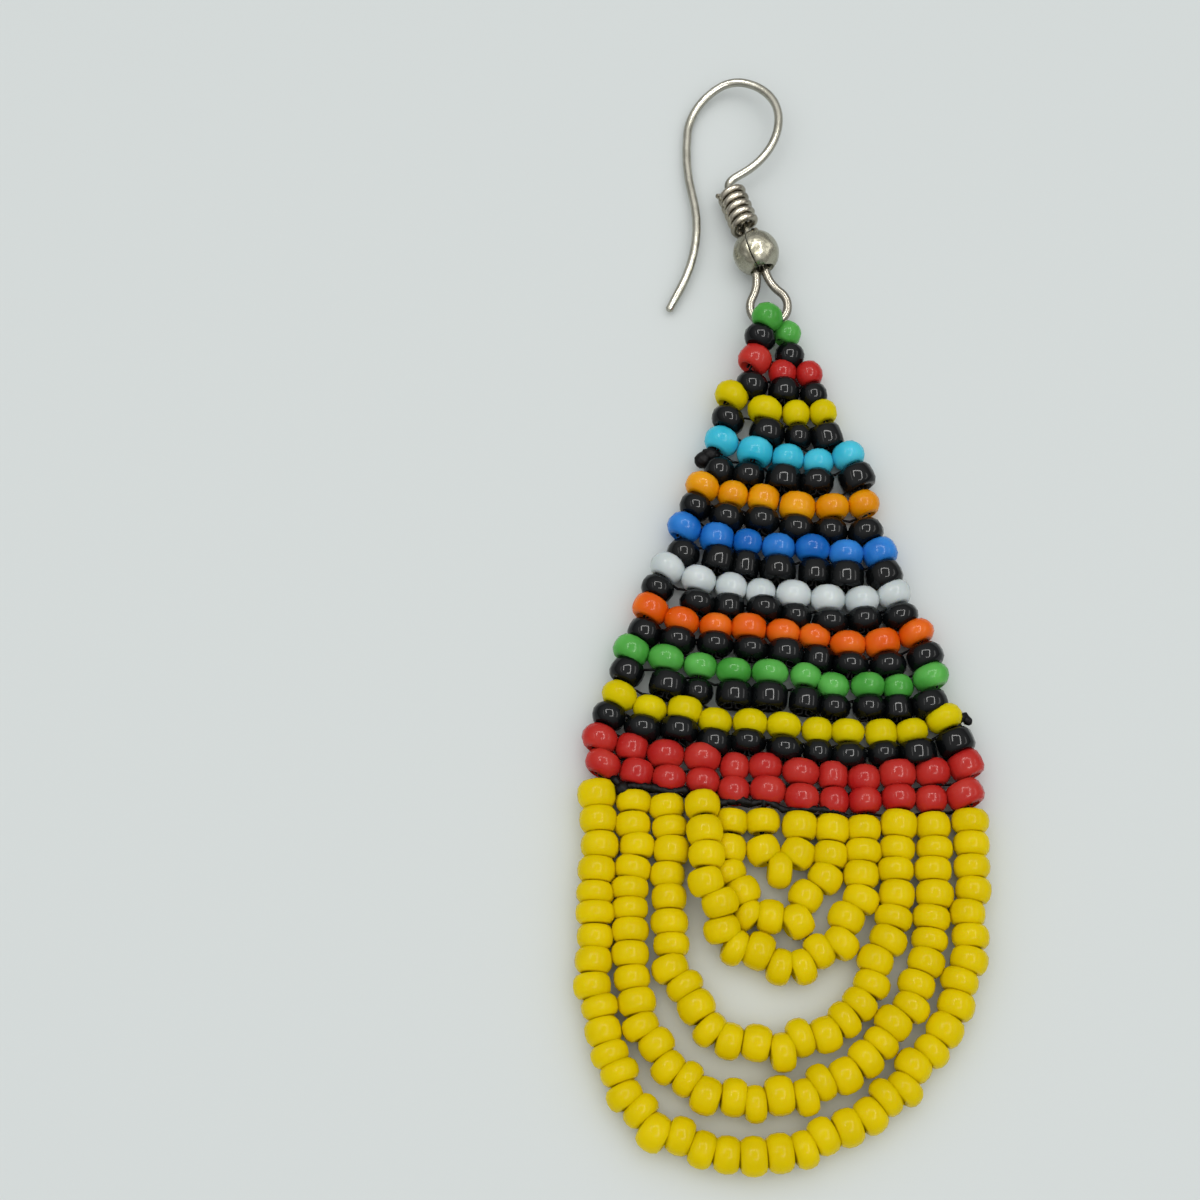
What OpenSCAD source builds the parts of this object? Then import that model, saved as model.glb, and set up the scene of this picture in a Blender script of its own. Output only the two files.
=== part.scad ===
// Beaded drop earring, lying flat: an ear hook with a coil and a hollow ball,
// a triangular brick-stitched panel of seed beads, and six nested bead loops under it.
// X runs across the earring, Y from the fringe to the hook, Z up from the surface it lies on.

/* [Beaded panel] */
// Distance between bead middles in a coloured row
colour_pitch = 2.2; // [2.15:0.05:2.25]
// Distance between bead middles in a black row
black_pitch = 2.32; // [2.25:0.05:2.35]
// Height of a bead lying on its side
bead_d = 2.16; // [2.1:0.02:2.2]
// Height of the panel's middle plane above the surface
panel_z = 1.1; // [1.1:0.02:1.2]

/* [Fringe loops] */
// Height of a strung loop lying on the surface
strand_d = 2.04; // [1.9:0.02:2.06]

/* [Ear hook] */
// Diameter of the ear wire
wire_d = 0.64; // [0.5:0.02:0.66]
// Straight length from the middle of the ball to the kink above the coil
stem_len = 6.1; // [6.1:0.05:6.2]
// Length of the straight tip that goes through the ear
tip_len = 1.9; // [1.5:0.1:2.5]
// Radius of the eye under the ball, to the middle of the wire
eye_r = 1.35; // [1.3:0.05:1.4]
// Distance between the two legs of the eye inside the ball
leg_gap = 0.72; // [0.7:0.02:0.74]

/* [Coil] */
// Diameter of the coil's own wire
coil_wire_d = 0.56; // [0.48:0.02:0.58]
// Outer diameter of the coil
coil_d = 2.24; // [2.2:0.02:2.26]
// Number of turns
coil_turns = 5.5; // [3.5:1:5.5]
// Rise of one turn
coil_pitch = 0.69; // [0.66:0.01:0.7]

/* [Ball] */
// Outer diameter of the hollow ball
ball_d = 3.34; // [3.2:0.02:3.34]
// Thickness of the ball's wall
ball_wall = 0.22; // [0.15:0.01:0.25]
// Diameter of the hole for the stem
ball_top_hole = 1.42; // [1.4:0.02:1.5]
// Diameter of the hole for the two legs of the eye
ball_low_hole = 1.8; // [1.78:0.02:1.9]
// Width of the open seam down one side of the ball
seam_w = 0.08; // [0.05:0.01:0.12]

/* [Thread] */
// Diameter of the black thread that holds the panel in the eye
thread_d = 0.28; // [0.2:0.02:0.3]

/* [Hidden] */

metal = [0.72, 0.70, 0.66];
thread = [0.06, 0.06, 0.07];
yellow = [0.85, 0.74, 0.05];
black = [0.12, 0.12, 0.13];
red = [0.78, 0.18, 0.18];
green = [0.30, 0.66, 0.30];
turquoise = [0.24, 0.70, 0.82];
amber = [0.93, 0.60, 0.05];
blue = [0.18, 0.43, 0.80];
white = [0.88, 0.90, 0.88];
orange = [0.93, 0.42, 0.12];

// Rows of the panel from the hook down. Columns: colour of the beads, how many,
// middle of the row across and along, slope in degrees, rise of the first and last bead
COLOUR = 0;
BEADS = 1;
MID_X = 2;
MID_Y = 3;
SLOPE = 4;
RISE_A = 5;
RISE_B = 6;
rows = [
    [green,      2,  1.0,  18.3, -36, 0.0, 0.0],
    [black,      2,  0.8,  16.8, -30, 0.0, 0.0],
    [red,        3,  1.2,  15.1, -12, 0.4, 0.2],
    [black,      3,  1.2,  13.3,  -8, 0.4, 0.0],
    [yellow,     4,  0.9,  11.5,  -6, 0.9, 0.2],
    [black,      4,  0.8,   9.7,  -6, 0.8, 0.1],
    [turquoise,  5,  1.2,   8.0,  -8, 0.5, 0.8],
    [black,      5,  1.3,   6.2,  -7, 0.2, 0.6],
    [amber,      6,  1.0,   4.5,  -8, 0.4, 0.6],
    [black,      6,  0.8,   2.8,  -8, 0.6, 0.4],
    [blue,       7,  0.8,   1.2,  -7, 0.6, 0.4],
    [black,      7,  0.8,  -0.5,  -8, 0.2, 0.6],
    [white,      8,  0.6,  -2.2,  -8, 0.8, 0.9],
    [black,      8,  0.4,  -3.7,  -7, 0.7, 0.8],
    [orange,     9,  0.6,  -5.2,  -7, 0.7, 1.1],
    [black,      9,  0.6,  -6.7,  -8, 0.3, 1.1],
    [green,     10,  0.4,  -8.2,  -7, 0.6, 1.1],
    [black,     10,  0.2,  -9.8,  -6, 0.9, 0.7],
    [yellow,    11,  0.3, -11.6,  -6, 0.8, 1.3],
    [black,     11,  0.2, -13.0,  -6, 0.8, 1.3],
    [red,       12,  0.3, -14.5,  -6, 0.7, 1.2],
    [red,       12,  0.3, -16.1,  -6, 0.6, 0.9],
];

// Height of the row's first and last bead where the top rows climb onto the eye
climb = [[1.2, 0.9], [0.45, 0.25], [0.1, 0.1]];

// Half lengths along the hole: the full-height part of a row, the valley to the next row,
// and the free end of the first and last row
shoulder_y = 0.4;
valley_y = 0.8;
end_y = 0.86;
// Heights there, and at the row's two ends, as shares of a bead's height
valley_share = 0.62;
end_share = 0.6;
edge_share = 0.55;
// How far the valley's ends are tucked in, in beads
tuck = 0.25;

// Segments of the ear wire from the ball to the tip. Columns: radius of the bend,
// or zero for a straight run, turn to the left in degrees, and length of a straight run.
// The wire ends a little way inside the straight tip, which is a true cylinder
RADIUS = 0;
TURN = 1;
RUN = 2;
stem_heading = 107.5;
tip_overlap = 0.3;
// The stem and the legs of the eye start this far from the ball's middle, in the solder
root_gap = 0.15;
stem_root = root_gap * [cos(stem_heading), sin(stem_heading)];
hook_path = [
    [0,     0, stem_len - root_gap],
    [0.7, -67, 0],
    [2.6, -15.5, 0],
    [5.3,  63, 0],
    [3.8,  72, 0],
    [2.3,  50, 0],
    [5.0,  54, 0],
    [18.5, 18, 0],
    [12.0, -39, 0],
    [0,     0, tip_overlap],
];

// Middle of the ball, where the stem crosses it, and how the hook's plane lies
hook_at = [-0.36, 24.28, 1.68];
hook_tilt = [-1.25, -11.5, 0];
// The ball's lower end dips to the surface, between the slopes of the stem and the eye
ball_dip = 7;

// The eye leaves the ball along its own heading, dips to the surface and leans a little
eye_heading = 282;
eye_dip = 10;
eye_lean = 6;
eye_flare = 40;
eye_reach = 4.2;
leg_bend_r = (eye_r * cos(eye_flare) - leg_gap / 2) / (1 - cos(eye_flare));
leg_run = eye_reach - (leg_bend_r + eye_r) * sin(eye_flare);
eye_path = [
    [0, 0, leg_run - root_gap],
    [leg_bend_r, eye_flare, 0],
    [eye_r, -180 - eye_flare * 2, 0],
    [leg_bend_r, eye_flare, 0],
    [0, 0, leg_run - root_gap],
];
// Lump of solder inside the ball that joins the stem and the two legs
solder_d = 1.56;
// Sides of the wire's section, and the most it turns from one ring to the next
wire_sides = 10;
wire_step = 13;

coil_from = 2.13;
coil_steps = 10;
coil_sides = 6;
// Angle of the coil's first end about its axis, from the side that lies down
coil_start = -90;
// Angle of the seam about the ball's axis, from the top to the left
seam_angle = 21;
round_fn = 48;
wire_fn = 32;
strand_sides = 8;
thread_sides = 8;

// Thread from the first green bead, through the eye, under its wire and up to the second
thread_route = [
    [0.75, 19.85, 2.1], [0.7, 20.05, 1.6], [0.7, 19.95, 1.0], [0.85, 19.6, 0.45],
    [1.2, 19.1, 0.18], [1.6, 18.85, 0.35], [1.9, 18.9, 0.8], [2.15, 18.85, 1.3],
    [2.2, 18.8, 1.6],
];

// Routes of the six loops, from the left end round to the right end
loop_routes = [
    [[-12.1, -15.4, 1.1], [-12.0, -18.5, 1.1], [-11.9, -21.3, 1.1], [-12.0, -24.2, 1.1],
     [-12.1, -27.0, 1.1], [-11.9, -29.7, 1.1], [-11.2, -32.5, 1.1], [-9.9, -35.2, 1.1],
     [-7.9, -37.4, 1.1], [-5.3, -38.6, 1.1], [-2.4, -39.0, 1.1], [0.5, -38.6, 1.1],
     [3.2, -37.4, 1.1], [5.8, -35.7, 1.1], [8.0, -33.4, 1.1], [9.8, -31.1, 1.1],
     [11.0, -28.5, 1.1], [11.7, -25.6, 1.1], [12.0, -22.8, 1.1], [12.2, -20.0, 1.1],
     [12.2, -17.6, 1.1]],
    [[-9.7, -16.1, 1.1], [-9.6, -18.8, 1.1], [-9.6, -21.4, 1.1], [-9.8, -24.0, 1.1],
     [-9.8, -26.7, 1.1], [-9.5, -29.2, 1.1], [-8.8, -31.6, 1.1], [-7.3, -33.8, 1.1],
     [-5.2, -35.2, 1.1], [-2.8, -35.8, 1.1], [-0.2, -35.6, 1.1], [2.3, -34.6, 1.1],
     [4.6, -33.2, 1.1], [6.5, -31.2, 1.1], [7.9, -29.1, 1.1], [8.9, -26.7, 1.1],
     [9.4, -24.0, 1.1], [9.7, -21.3, 1.1], [9.9, -18.1, 1.1]],
    [[-7.5, -16.4, 1.1], [-7.3, -19.0, 1.1], [-7.4, -21.5, 1.1], [-7.4, -24.2, 1.1],
     [-7.3, -26.8, 1.1], [-6.4, -29.2, 1.1], [-4.8, -31.2, 1.1], [-2.6, -32.3, 1.1],
     [-0.2, -32.3, 1.1], [2.2, -31.5, 1.1], [4.2, -29.9, 1.1], [5.6, -27.8, 1.1],
     [6.6, -25.4, 1.1], [7.2, -22.6, 1.1], [7.5, -20.2, 1.1], [7.7, -17.8, 1.1]],
    [[-5.35, -16.6, 1.9], [-5.15, -18.6, 2.3], [-5.1, -20.6, 2.5], [-5.0, -22.4, 2.4],
     [-4.4, -24.1, 2.0], [-3.5, -25.8, 1.5], [-2.0, -27.0, 1.2], [0.0, -27.5, 1.1],
     [2.0, -26.8, 1.1], [3.6, -25.3, 1.1], [4.7, -23.3, 1.1], [5.25, -21.0, 1.1],
     [5.4, -17.8, 1.1]],
    [[-3.2, -17.2, 1.1], [-3.3, -19.0, 1.1], [-3.35, -20.9, 1.1], [-2.9, -22.6, 1.1],
     [-1.9, -24.0, 1.1], [-0.3, -24.6, 1.1], [1.3, -23.8, 1.1], [2.4, -22.3, 1.1],
     [3.05, -20.4, 1.1], [3.2, -17.7, 1.1]],
    [[-1.05, -17.4, 1.1], [-1.1, -18.9, 1.1], [-1.1, -20.1, 1.1], [-0.8, -21.0, 1.1],
     [-0.1, -21.35, 1.1], [0.6, -21.0, 1.1], [0.9, -20.1, 1.1], [1.0, -18.9, 1.1],
     [1.05, -17.6, 1.1]],
];

function unit(v) = v / norm(v);

// Direction of travel at point i of a path, halfway between the runs that meet there
function run_heading(path, i) = unit(path[i + 1] - path[i]);
function heading(path, i) =
    let (last = len(path) - 1)
    unit(run_heading(path, min(i, last - 1)) + run_heading(path, max(i - 1, 0)));

// One ring of a sweep: the section scaled by s, upright about the reference direction
function ring(p, t, section, s, ref) =
    let (side = unit(cross(t, ref)), up = cross(side, t))
    [for (q = section) p + side * q[0] * s + up * q[1] * s];

// A regular section that is d across its flats, two of them level
function flat_section(d, sides) =
    let (r = d / 2 / cos(180 / sides), first = sides % 4 == 0 ? 0.5 : 0)
    [for (k = [0:sides - 1]) let (a = 360 * (k + first) / sides) [cos(a), sin(a)] * r];

// A closed solid swept along a path, with one scale for each of its rings
module sweep(path, section, scales, ref = [0, 0, 1]) {
    n = len(path);
    m = len(section);
    points = [for (i = [0:n - 1]) each ring(path[i], heading(path, i), section, scales[i], ref)];
    sides = [for (i = [0:n - 2], k = [0:m - 1])
        let (a = i * m + k, b = i * m + (k + 1) % m)
        each [[a, b + m, a + m], [a, b, b + m]]];
    first = [[for (k = [m - 1:-1:0]) k]];
    last = [[for (k = [0:m - 1]) (n - 1) * m + k]];
    polyhedron(points, concat(sides, first, last), convexity = 6);
}

module tube(path, d, sides, ref = [0, 0, 1]) {
    sweep(path, flat_section(d, sides), [for (p = path) 1], ref);
}

function row_pitch(r) = r[COLOUR] == black ? black_pitch : colour_pitch;
function row_climb(i, t) =
    i < len(climb) ? climb[i][0] + (climb[i][1] - climb[i][0]) * t : 0;

// Stations across a row in beads, from outside the first bead to outside the last
function stations(n, tuck) =
    let (d = min(1, (n - 1) / 4))
    [tuck - 0.5, 0, d, (n - 1) / 2, n - 1 - d, n - 1, n - 0.5 - tuck];

// Point of row i at station k, moved by out along the beads' holes
function row_point(i, k, out, tuck = 0) =
    let (r = rows[i], n = r[BEADS], s = stations(n, tuck)[k],
         along = (s - (n - 1) / 2) * row_pitch(r),
         rise = k < 2 ? r[RISE_A] : k > 4 ? r[RISE_B] : 0,
         t = max(0, min(1, s / (n - 1))))
    [r[MID_X] + along * cos(r[SLOPE]) - out * sin(r[SLOPE]),
     r[MID_Y] + along * sin(r[SLOPE]) + out * cos(r[SLOPE]) + rise,
     panel_z + row_climb(i, t)];

// Lines across the panel, each a row of points with their half heights
function line(i, out, share) =
    [for (k = [0:6]) [row_point(i, k, out), bead_d / 2 * share * (k % 6 == 0 ? edge_share : 1)]];
function valley(i) =
    [for (k = [0:6])
        [(row_point(i, k, -valley_y, tuck) + row_point(i + 1, k, valley_y, tuck)) / 2,
         bead_d / 2 * valley_share * (k % 6 == 0 ? edge_share : 1)]];
panel_lines = concat(
    [line(0, end_y, end_share)],
    [for (i = [0:len(rows) - 1]) each [
        line(i, shoulder_y, 1),
        line(i, -shoulder_y, 1),
        i < len(rows) - 1 ? valley(i) : line(i, -end_y, end_share)]]);

// The panel is one solid: an upper and a lower sheet of ribs, closed round the edge
module beaded_panel() {
    n = len(panel_lines);
    m = 7;
    upper = [for (l = panel_lines, p = l) p[0] + [0, 0, p[1]]];
    lower = [for (l = panel_lines, p = l) p[0] - [0, 0, p[1]]];
    low = n * m;
    sheets = [for (i = [0:n - 2], k = [0:m - 2])
        let (a = i * m + k, b = a + 1, c = b + m, d = a + m)
        each [[a, b, c], [a, c, d], [low + a, low + c, low + b], [low + a, low + d, low + c]]];
    sides = [for (i = [0:n - 2])
        let (a = i * m, d = a + m, b = a + m - 1, c = b + m)
        each [[a, d, low + d], [a, low + d, low + a], [c, b, low + b], [c, low + b, low + c]]];
    ends = [for (k = [0:m - 2])
        let (a = k, b = k + 1, d = (n - 1) * m + k, c = d + 1)
        each [[b, a, low + a], [b, low + a, low + b], [d, c, low + c], [d, low + c, low + d]]];
    color(red) polyhedron(concat(upper, lower), concat(sheets, sides, ends), convexity = 10);
}

module fringe_loop(i) {
    color(yellow) tube(loop_routes[i], strand_d, strand_sides);
}

module hanging_thread() {
    color(thread) tube(thread_route, thread_d, thread_sides, [1, 0, 0]);
}

// Place and heading at the start of segment i of a wire path
function travel(path, i, at, head) =
    i == 0 ? [at, head] :
    let (s = path[i - 1], before = travel(path, i - 1, at, head), p = before[0], a = before[1],
         side = sign(s[TURN]), mid = p + side * s[RADIUS] * [-sin(a), cos(a)], b = a + s[TURN])
    s[RADIUS] == 0 ? [p + s[RUN] * [cos(a), sin(a)], a] :
    [mid - side * s[RADIUS] * [-sin(b), cos(b)], b];

// Points along a bend after its start, and along a whole wire path
function bend_points(p, a, radius, turn) =
    let (side = sign(turn), mid = p + side * radius * [-sin(a), cos(a)],
         steps = ceil(abs(turn) / wire_step))
    [for (k = [1:steps]) let (b = a + turn * k / steps) mid - side * radius * [-sin(b), cos(b)]];
function wire_points(path, at, head) = concat([[at[0], at[1], 0]],
    [for (i = [0:len(path) - 1])
        let (s = path[i], start = travel(path, i, at, head), p = start[0], a = start[1])
        for (q = s[RADIUS] == 0 ? [p + s[RUN] * [cos(a), sin(a)]]
                                : bend_points(p, a, s[RADIUS], s[TURN]))
            [q[0], q[1], 0]]);

// The wire is round at its vertices; its last ring is a little thinner where the tip goes on
module wire(path, at, head, last_share = 1) {
    points = wire_points(path, at, head);
    n = len(points);
    section = [for (k = [0:wire_sides - 1])
        let (a = 360 * (k + 0.5) / wire_sides) [cos(a), sin(a)] * wire_d / 2];
    sweep(points, section, [for (i = [0:n - 1]) i < n - 1 ? 1 : last_share]);
}

module hook_tip() {
    start = travel(hook_path, len(hook_path) - 1, stem_root, stem_heading);
    translate([start[0][0], start[0][1], 0]) rotate([0, 0, start[1]]) rotate([0, 90, 0])
        translate([0, 0, tip_overlap / 3])
            cylinder(d = wire_d, h = tip_len - tip_overlap / 3, $fn = wire_fn);
}

module ear_hook() {
    color(metal) {
        translate(hook_at) rotate(hook_tilt) {
            wire(hook_path, stem_root, stem_heading, 0.9);
            hook_tip();
        }
        translate(hook_at) rotate([0, 0, eye_heading]) rotate([0, eye_dip, 0])
            rotate([eye_lean, 0, 0]) wire(eye_path, [root_gap, leg_gap / 2], 0);
        translate(hook_at) sphere(d = solder_d, $fn = wire_fn);
    }
}

module hook_coil() {
    turn_r = (coil_d - coil_wire_d) / 2;
    steps = coil_turns * coil_steps;
    path = [for (k = [0:steps]) let (a = coil_start + 360 * k / coil_steps)
        [turn_r * cos(a), turn_r * sin(a), coil_pitch * k / coil_steps]];
    color(metal) translate(hook_at) rotate(hook_tilt) rotate([0, 0, stem_heading]) rotate([0, 90, 0])
        translate([0, 0, coil_from]) tube(path, coil_wire_d, coil_sides);
}

module hook_ball() {
    inner_r = ball_d / 2 - ball_wall;
    color(metal) translate(hook_at) rotate([0, 0, stem_heading]) rotate([0, 90 - ball_dip, 0])
        difference() {
            sphere(d = ball_d, $fn = round_fn);
            sphere(r = inner_r, $fn = round_fn);
            cylinder(d = ball_top_hole, h = ball_d, $fn = wire_fn);
            translate([0, 0, -ball_d]) cylinder(d = ball_low_hole, h = ball_d, $fn = wire_fn);
            rotate([0, 0, 180 - seam_angle]) translate([0, -seam_w / 2, -ball_d])
                cube([ball_d, seam_w, ball_d * 2]);
        }
}

ear_hook();
hook_coil();
hook_ball();
hanging_thread();
beaded_panel();
fringe_loop(0);  // fringe_loop_1
fringe_loop(1);  // fringe_loop_2
fringe_loop(2);  // fringe_loop_3
fringe_loop(3);  // fringe_loop_4
fringe_loop(4);  // fringe_loop_5
fringe_loop(5);  // fringe_loop_6
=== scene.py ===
import math
import random

import bpy
from mathutils import Matrix, Vector


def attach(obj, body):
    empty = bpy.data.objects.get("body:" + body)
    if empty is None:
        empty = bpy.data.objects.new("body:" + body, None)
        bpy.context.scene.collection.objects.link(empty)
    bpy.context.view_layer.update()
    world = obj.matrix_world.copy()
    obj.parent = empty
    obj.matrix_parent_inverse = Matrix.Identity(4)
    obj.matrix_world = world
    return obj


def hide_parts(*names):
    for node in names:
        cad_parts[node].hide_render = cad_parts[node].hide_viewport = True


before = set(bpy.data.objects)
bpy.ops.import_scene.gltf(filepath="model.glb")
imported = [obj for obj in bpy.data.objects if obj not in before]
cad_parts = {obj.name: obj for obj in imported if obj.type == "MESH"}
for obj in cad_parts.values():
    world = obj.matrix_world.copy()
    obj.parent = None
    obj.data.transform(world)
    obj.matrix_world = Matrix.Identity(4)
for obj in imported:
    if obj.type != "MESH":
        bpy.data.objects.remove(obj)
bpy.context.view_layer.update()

mm = 0.001
shuffle = random.Random(11)  # one seeded source of small differences, so each run is the same


def toLinear(hexColour):
    # an sRGB hex colour as the linear colour that a shader takes
    parts = [int(hexColour[i:i + 2], 16) / 255 for i in (0, 2, 4)]
    return [c / 12.92 if c <= 0.04045 else ((c + 0.055) / 1.055) ** 2.4 for c in parts] + [1.0]


def addNode(tree, kind, settings=(), inputs=(), links=()):
    # settings are the node's own, inputs are socket values, links feed a socket from another node
    node = tree.nodes.new(kind)
    for key, value in dict(settings).items():
        setattr(node, key, value)
    for key, value in dict(inputs).items():
        node.inputs[key].default_value = value
    for key, source in dict(links).items():
        tree.links.new(source, node.inputs[key])
    return node


def newMaterial(name):
    # an empty material with its output node and object coordinates
    material = bpy.data.materials.new(name)
    material.use_nodes = True
    tree = material.node_tree
    tree.nodes.clear()
    output = addNode(tree, "ShaderNodeOutputMaterial")
    place = addNode(tree, "ShaderNodeTexCoord")
    return material, tree, output, place.outputs["Object"]


def clearSelection():
    for obj in bpy.context.selected_objects:
        obj.select_set(False)


def activate(obj):
    clearSelection()
    obj.select_set(True)
    bpy.context.view_layer.objects.active = obj


def selectVertices(obj, test):
    # in edit mode, select only the vertices that pass the test
    bpy.ops.mesh.select_mode(type="VERT")
    bpy.ops.mesh.select_all(action="DESELECT")
    bpy.ops.object.mode_set(mode="OBJECT")
    for vertex in obj.data.vertices:
        vertex.select = bool(test(vertex))
    bpy.ops.object.mode_set(mode="EDIT")


def applyModifiers(obj):
    activate(obj)
    for modifier in list(obj.modifiers):
        bpy.ops.object.modifier_apply(modifier=modifier.name)


def joinPieces(parts, name):
    activate(parts[0])
    for part in parts[1:]:
        part.select_set(True)
    if len(parts) > 1:
        bpy.ops.object.join()
    piece = bpy.context.view_layer.objects.active
    piece.name = name
    piece.data.name = name
    return piece


def finishPiece(piece, material, nodes=()):
    # the finished piece sits at the origin, rides on the one body and takes its material
    activate(piece)
    bpy.ops.object.transform_apply(location=True, rotation=True, scale=True)
    bpy.ops.object.shade_smooth()
    piece.data.materials.clear()
    piece.data.materials.append(material)
    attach(piece, "root")
    if nodes:
        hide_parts(*nodes)
    return piece


def smoothRoute(points, step, samples=12):
    # points at even steps along a smooth curve through the given points
    dense = []
    ends = [points[0] * 2 - points[1]] + list(points) + [points[-1] * 2 - points[-2]]
    for i in range(1, len(ends) - 2):
        a, b, c, d = ends[i - 1:i + 3]
        for k in range(samples):
            t = k / samples
            dense.append(0.5 * (b * 2 + (c - a) * t + (a * 2 - b * 5 + c * 4 - d) * t * t
                                + (b * 3 - a - c * 3 + d) * t ** 3))
    dense.append(points[-1].copy())
    run = [0.0]
    for a, b in zip(dense, dense[1:]):
        run.append(run[-1] + (b - a).length)
    count = max(2, round(run[-1] / step))
    even, j = [], 0
    for i in range(count + 1):
        want = run[-1] * i / count
        while j < len(run) - 2 and run[j + 1] < want:
            j += 1
        share = (want - run[j]) / max(run[j + 1] - run[j], 1e-9)
        even.append(dense[j].lerp(dense[j + 1], min(share, 1.0)))
    return even


def millimetres(rows):
    return [Vector(row) * mm for row in rows]


def wireFrom(name, paths, radius, sides=3, taper=None):
    # a round wire or thread along each path, made as a curve and turned into a mesh
    clearSelection()
    bpy.ops.curve.primitive_nurbs_path_add(location=(0, 0, 0))
    wire = bpy.context.object
    wire.name = name
    curve = wire.data
    curve.splines.clear()
    curve.dimensions = "3D"
    curve.twist_mode = "MINIMUM"
    curve.bevel_depth = radius
    curve.bevel_resolution = sides
    curve.use_fill_caps = True
    for path in paths:
        spline = curve.splines.new("POLY")
        spline.points.add(len(path) - 1)
        for i, point in enumerate(path):
            spline.points[i].co = (*point, 1.0)
            spline.points[i].radius = taper(i, len(path)) if taper else 1.0
    activate(wire)
    bpy.ops.object.convert(target="MESH")
    return bpy.context.object


# The photo's view, from the near side and well above. Metres and degrees, the lens in
# millimetres
view = {"target": (-0.0117, -0.0027, 0.0011), "distance": 0.130, "elevation": 68,
        "lens": 57.6, "sensor": 36, "nearest": 0.001}
rise = math.radians(view["elevation"])
target = Vector(view["target"])
bpy.ops.object.camera_add(
    location=target + Vector((0, -math.cos(rise), math.sin(rise))) * view["distance"],
    rotation=(math.pi / 2 - rise, 0, 0))
camera = bpy.context.object
camera.name = "overheadCamera"
camera.data.lens = view["lens"]
camera.data.sensor_width = view["sensor"]
camera.data.clip_start = view["nearest"]
camera.data.dof.use_dof = False
bpy.context.scene.camera = camera

# A square frame of thin light bars hangs straight overhead, open at its near left corner, as
# the C-shaped glints on the beads show, with a dim panel on either side of it. They only give
# glints: the light that falls on the piece is soft and comes from the room all round. Places
# and sizes are in metres
lamps = {"height": 0.5, "colour": (1.0, 0.99, 0.97), "barRadiance": 27.0, "panelRadiance": 3.0,
         "bars": {"far": ((0, 0.245), (0.42, 0.036)), "right": ((0.21, 0), (0.036, 0.49)),
                  "left": ((-0.21, 0.098), (0.036, 0.294)),
                  "near": ((0.105, -0.245), (0.21, 0.036))},
         "panels": {"left": ((-0.42, 0), (0.06, 0.5)), "right": ((0.74, 0), (0.24, 0.7))}}
for kind in ("bar", "panel"):
    for side, (middle, size) in lamps[kind + "s"].items():
        bpy.ops.object.light_add(type="AREA", location=(*middle, lamps["height"]))
        lamp = bpy.context.object
        lamp.name = side + kind.capitalize()
        lamp.data.shape = "RECTANGLE"
        lamp.data.size, lamp.data.size_y = size
        lamp.data.energy = lamps[kind + "Radiance"] * math.pi * size[0] * size[1]
        lamp.data.color = lamps["colour"]
        lamp.visible_diffuse = False

scene = bpy.context.scene
scene.view_settings.view_transform = "Standard"
scene.world = scene.world or bpy.data.worlds.new("softRoom")
scene.world.use_nodes = True
worldTree = scene.world.node_tree
worldTree.nodes.clear()
# the room is pale overhead and darker towards the horizon
roomLight = {"horizon": 0.3, "overhead": 1.17}
sky = addNode(worldTree, "ShaderNodeTexCoord")
upward = addNode(worldTree, "ShaderNodeSeparateXYZ", links={"Vector": sky.outputs["Object"]})
fade = addNode(worldTree, "ShaderNodeMapRange", settings={"interpolation_type": "SMOOTHSTEP"},
               inputs={"To Min": roomLight["horizon"], "To Max": roomLight["overhead"]},
               links={"Value": upward.outputs["Z"]})
room = addNode(worldTree, "ShaderNodeBackground", inputs={"Color": (1.0, 1.0, 1.0, 1.0)},
               links={"Strength": fade.outputs["Result"]})
addNode(worldTree, "ShaderNodeOutputWorld", links={"Surface": room.outputs[0]})

floorSettings = {"size": 1.6, "colour": "DAE0DF", "roughness": 0.6, "reflection": 0.2}
clearSelection()
bpy.ops.mesh.primitive_plane_add(size=floorSettings["size"], location=(0, 0, 0))
floor = bpy.context.object
floor.name = "paleFloor"
floorPaint, tree, output, place = newMaterial("paleMattFloor")
paint = addNode(tree, "ShaderNodeBsdfPrincipled",
                inputs={"Base Color": toLinear(floorSettings["colour"]),
                        "Roughness": floorSettings["roughness"],
                        "Specular IOR Level": floorSettings["reflection"]})
tree.links.new(paint.outputs[0], output.inputs["Surface"])
floor.data.materials.append(floorPaint)
print("camera, light and floor are set")

# Opaque glass seed beads, cut from drawn tube and fire-polished. Columns: base colour, colour
# of the paler streaks, roughness, strength of the reflection, and how much light seeps through
glassKinds = {
    "yellow": ("D5C100", "DECC04", 0.2, 0.05, 0.3),
    "sunYellow": ("DEC400", "E8CE04", 0.18, 0.06, 0.3),
    "red": ("B7201E", "C4362C", 0.18, 0.155, 0.15),
    "black": ("07090A", "0E1112", 0.08, 0.185, 0.0),
    "green": ("459D3A", "64BC56", 0.19, 0.145, 0.15),
    "turquoise": ("29B6D3", "50CEE7", 0.19, 0.12, 0.15),
    "amber": ("E39000", "F0A60C", 0.19, 0.135, 0.3),
    "blue": ("1265BC", "3589DE", 0.18, 0.145, 0.1),
    "white": ("C5CFCF", "D8E0E0", 0.2, 0.17, 0.15),
    "orange": ("E35C08", "F0741C", 0.18, 0.135, 0.25),
}
# Sizes are in millimetres: the clouds of tone, the dimples of the skin and their depth, and how
# far light seeps in
glassSkin = {"cloud": 2.4, "cloudDetail": 2.0, "cloudRange": (0.36, 0.68), "dimple": 0.35,
             "dimpleStrength": 0.05, "dimpleDepth": 0.02, "bending": 1.51,
             "seepColours": (1.0, 0.7, 0.3), "seepReach": 0.6}


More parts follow.
